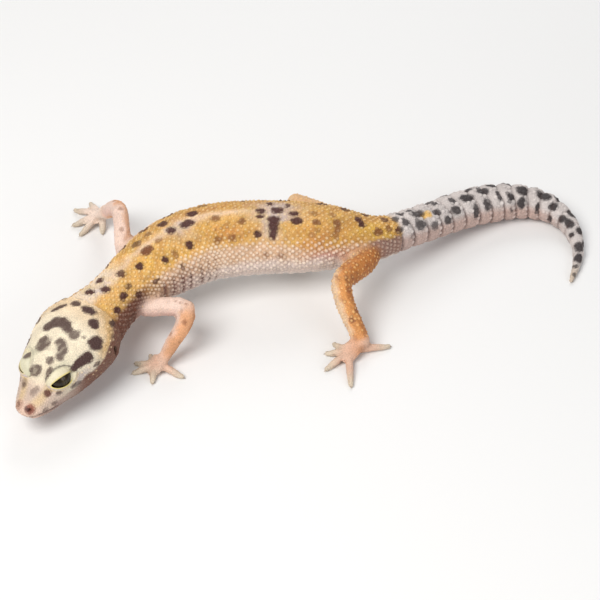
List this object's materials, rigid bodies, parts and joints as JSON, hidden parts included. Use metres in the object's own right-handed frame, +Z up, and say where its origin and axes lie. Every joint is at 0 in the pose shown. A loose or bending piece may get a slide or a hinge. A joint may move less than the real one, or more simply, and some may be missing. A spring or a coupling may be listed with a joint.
{
  "type": "leopard gecko",
  "caption": "Still life-size lizard standing with its head turned, a spotted warty skin and a thick ringed tail laid in a curve on the floor.",
  "frame": {"origin": "on the floor, under the middle of the box that holds the whole animal", "axes": "+X runs towards the tail's side of the animal and away from its head, +Y towards its right side, +Z up; the snout turns towards -Y"},
  "size_m": [0.1496, 0.0894, 0.0229],
  "materials": {
    "skin_head": "dry small-scaled skin, cream with dark spots",
    "skin_body": "dry warty skin, golden with dark spots, paler below",
    "skin_tail": "dry ringed skin, pale lilac with dark blotches",
    "skin_limb": "dry small-scaled skin, peach",
    "eye": "wet and glossy",
    "claw": "smooth horn"
  },
  "bodies": {
    "root": {"head": "skin_head", "neck": "skin_body", "trunk": "skin_body", "hips": "skin_body", "tail_base": "skin_tail", "tail_middle": "skin_tail", "tail_end": "skin_tail", "tail_tip": "skin_tail", "upper_arm_left": "skin_limb", "forearm_left": "skin_limb", "thigh_left": "skin_limb", "shank_left": "skin_limb", "upper_arm_right": "skin_limb", "forearm_right": "skin_limb", "thigh_right": "skin_limb", "shank_right": "skin_limb", "hand_left": "skin_limb", "foot_left": "skin_limb", "hand_right": "skin_limb", "foot_right": "skin_limb", "eye_left": "eye", "eye_right": "eye", "hand_left_claw_1": "claw", "hand_left_claw_2": "claw", "hand_left_claw_3": "claw", "hand_left_claw_4": "claw", "hand_left_claw_5": "claw", "hand_right_claw_1": "claw", "hand_right_claw_2": "claw", "hand_right_claw_3": "claw", "hand_right_claw_4": "claw", "hand_right_claw_5": "claw", "foot_left_claw_1": "claw", "foot_left_claw_2": "claw", "foot_left_claw_3": "claw", "foot_left_claw_4": "claw", "foot_left_claw_5": "claw", "foot_right_claw_1": "claw", "foot_right_claw_2": "claw", "foot_right_claw_3": "claw", "foot_right_claw_4": "claw", "foot_right_claw_5": "claw"}
  },
  "joints": []
}
